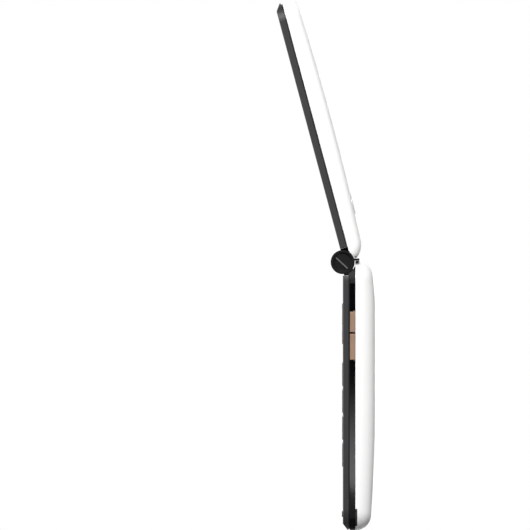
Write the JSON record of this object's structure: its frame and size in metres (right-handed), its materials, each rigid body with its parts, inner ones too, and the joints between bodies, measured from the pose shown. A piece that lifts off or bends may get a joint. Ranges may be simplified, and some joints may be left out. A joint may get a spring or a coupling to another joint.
{
  "type": "flip phone",
  "caption": "White clamshell handset with dark frames, black edge band, round hinge barrel and copper-coloured side keys, open.",
  "frame": {"origin": "middle of the flat on the back cover, on which the phone lies", "axes": "+Z out of the keypad face, +Y towards the hinge and the lid, +X towards the edge with the side keys"},
  "size_m": [0.0533, 0.1939, 0.0359],
  "materials": {
    "white_shell": "gloss white moulded shell",
    "grey_frame": "satin dark grey moulding",
    "black_gloss": "polished black edge band",
    "black_moulding": "satin black",
    "black_rubber": "matte",
    "key_plastic": "polished key caps",
    "copper_paint": "satin copper colour",
    "dark_window": "polished dark acrylic",
    "display_unit": "unlit display, thin glass in a plastic frame",
    "steel": "plain",
    "ring_metal": "turned",
    "board_laminate": "green solder resist",
    "dome_film": "film",
    "battery_can": "thin can in a bare dark film",
    "contact_gold": "plated"
  },
  "bodies": {
    "base": {"chassis": "black_gloss", "front_frame": "grey_frame", "hinge_spine": "black_moulding", "hinge_cap_left": "black_moulding", "hinge_cap_right": "black_moulding", "hinge_pin": "steel", "hinge_cam": "steel", "circuit_board": "board_laminate", "dome_sheet": "dome_film", "key_mat": "black_rubber", "battery": "battery_can", "battery_contacts": "contact_gold", "sim_socket": "black_moulding", "shield_can": "steel", "usb_socket": "steel", "loudspeaker": "black_moulding", "vibration_motor": "steel", "microphone": "steel", "antenna": "black_moulding", "base_screws": "steel", "base_bumpers": "black_rubber", "side_switches": "steel"},
    "back_cover_body": {"back_cover": "white_shell"},
    "lid": {"lid_frame": "grey_frame", "lid_cover": "white_shell", "lid_hinge_arm": "black_moulding", "display_lens": "dark_window", "display_panel": "display_unit", "lid_board": "board_laminate", "earpiece": "black_moulding", "earpiece_mesh": "steel", "outer_lens": "dark_window", "outer_display": "display_unit", "camera_module": "black_moulding", "camera_lens": "dark_window", "camera_ring": "ring_metal", "lid_screws": "steel", "screw_plugs": "black_rubber", "hinge_cartridge": "steel"},
    "key_0_body": {"key_0": "key_plastic"},
    "key_1_body": {"key_1": "key_plastic"},
    "key_2_body": {"key_2": "key_plastic"},
    "key_3_body": {"key_3": "key_plastic"},
    "key_4_body": {"key_4": "key_plastic"},
    "key_5_body": {"key_5": "key_plastic"},
    "key_6_body": {"key_6": "key_plastic"},
    "key_7_body": {"key_7": "key_plastic"},
    "key_8_body": {"key_8": "key_plastic"},
    "key_9_body": {"key_9": "key_plastic"},
    "key_star_body": {"key_star": "key_plastic"},
    "key_hash_body": {"key_hash": "key_plastic"},
    "soft_key_left_body": {"soft_key_left": "key_plastic"},
    "soft_key_right_body": {"soft_key_right": "key_plastic"},
    "call_key_body": {"call_key": "key_plastic"},
    "end_key_body": {"end_key": "key_plastic"},
    "nav_ring_body": {"nav_ring": "key_plastic"},
    "ok_key_body": {"ok_key": "key_plastic"},
    "side_key_upper_body": {"side_key_upper": "copper_paint"},
    "side_key_lower_body": {"side_key_lower": "copper_paint"}
  },
  "joints": [
    {"name": "lid_hinge", "type": "hinge", "parent": "base", "child": "lid", "pos_m": [0, 0.038, 0.01175], "axis": [1, 0, 0], "range_deg": [0, 165]},
    {"name": "back_cover_off", "type": "slide", "parent": "base", "child": "back_cover_body", "axis": [0, 0, -1], "range_m": [0, 0.02]},
    {"name": "key_0_press", "type": "slide", "parent": "base", "child": "key_0_body", "axis": [0, 0, -1], "range_m": [0, 0.00025], "stiffness_N_per_m": 300, "springref_m": -0.001},
    {"name": "key_1_press", "type": "slide", "parent": "base", "child": "key_1_body", "axis": [0, 0, -1], "range_m": [0, 0.00025], "stiffness_N_per_m": 300, "springref_m": -0.001},
    {"name": "key_2_press", "type": "slide", "parent": "base", "child": "key_2_body", "axis": [0, 0, -1], "range_m": [0, 0.00025], "stiffness_N_per_m": 300, "springref_m": -0.001},
    {"name": "key_3_press", "type": "slide", "parent": "base", "child": "key_3_body", "axis": [0, 0, -1], "range_m": [0, 0.00025], "stiffness_N_per_m": 300, "springref_m": -0.001},
    {"name": "key_4_press", "type": "slide", "parent": "base", "child": "key_4_body", "axis": [0, 0, -1], "range_m": [0, 0.00025], "stiffness_N_per_m": 300, "springref_m": -0.001},
    {"name": "key_5_press", "type": "slide", "parent": "base", "child": "key_5_body", "axis": [0, 0, -1], "range_m": [0, 0.00025], "stiffness_N_per_m": 300, "springref_m": -0.001},
    {"name": "key_6_press", "type": "slide", "parent": "base", "child": "key_6_body", "axis": [0, 0, -1], "range_m": [0, 0.00025], "stiffness_N_per_m": 300, "springref_m": -0.001},
    {"name": "key_7_press", "type": "slide", "parent": "base", "child": "key_7_body", "axis": [0, 0, -1], "range_m": [0, 0.00025], "stiffness_N_per_m": 300, "springref_m": -0.001},
    {"name": "key_8_press", "type": "slide", "parent": "base", "child": "key_8_body", "axis": [0, 0, -1], "range_m": [0, 0.00025], "stiffness_N_per_m": 300, "springref_m": -0.001},
    {"name": "key_9_press", "type": "slide", "parent": "base", "child": "key_9_body", "axis": [0, 0, -1], "range_m": [0, 0.00025], "stiffness_N_per_m": 300, "springref_m": -0.001},
    {"name": "key_star_press", "type": "slide", "parent": "base", "child": "key_star_body", "axis": [0, 0, -1], "range_m": [0, 0.00025], "stiffness_N_per_m": 300, "springref_m": -0.001},
    {"name": "key_hash_press", "type": "slide", "parent": "base", "child": "key_hash_body", "axis": [0, 0, -1], "range_m": [0, 0.00025], "stiffness_N_per_m": 300, "springref_m": -0.001},
    {"name": "soft_key_left_press", "type": "slide", "parent": "base", "child": "soft_key_left_body", "axis": [0, 0, -1], "range_m": [0, 0.00025], "stiffness_N_per_m": 300, "springref_m": -0.001},
    {"name": "soft_key_right_press", "type": "slide", "parent": "base", "child": "soft_key_right_body", "axis": [0, 0, -1], "range_m": [0, 0.00025], "stiffness_N_per_m": 300, "springref_m": -0.001},
    {"name": "call_key_press", "type": "slide", "parent": "base", "child": "call_key_body", "axis": [0, 0, -1], "range_m": [0, 0.00025], "stiffness_N_per_m": 300, "springref_m": -0.001},
    {"name": "end_key_press", "type": "slide", "parent": "base", "child": "end_key_body", "axis": [0, 0, -1], "range_m": [0, 0.00025], "stiffness_N_per_m": 300, "springref_m": -0.001},
    {"name": "nav_ring_press", "type": "slide", "parent": "base", "child": "nav_ring_body", "axis": [0, 0, -1], "range_m": [0, 0.00025], "stiffness_N_per_m": 300, "springref_m": -0.001},
    {"name": "ok_key_press", "type": "slide", "parent": "base", "child": "ok_key_body", "axis": [0, 0, -1], "range_m": [0, 0.00025], "stiffness_N_per_m": 300, "springref_m": -0.001},
    {"name": "side_key_upper_press", "type": "slide", "parent": "base", "child": "side_key_upper_body", "axis": [-1, 0, 0], "range_m": [0, 0.0004], "stiffness_N_per_m": 300, "springref_m": -0.001},
    {"name": "side_key_lower_press", "type": "slide", "parent": "base", "child": "side_key_lower_body", "axis": [-1, 0, 0], "range_m": [0, 0.0004], "stiffness_N_per_m": 300, "springref_m": -0.001}
  ]
}
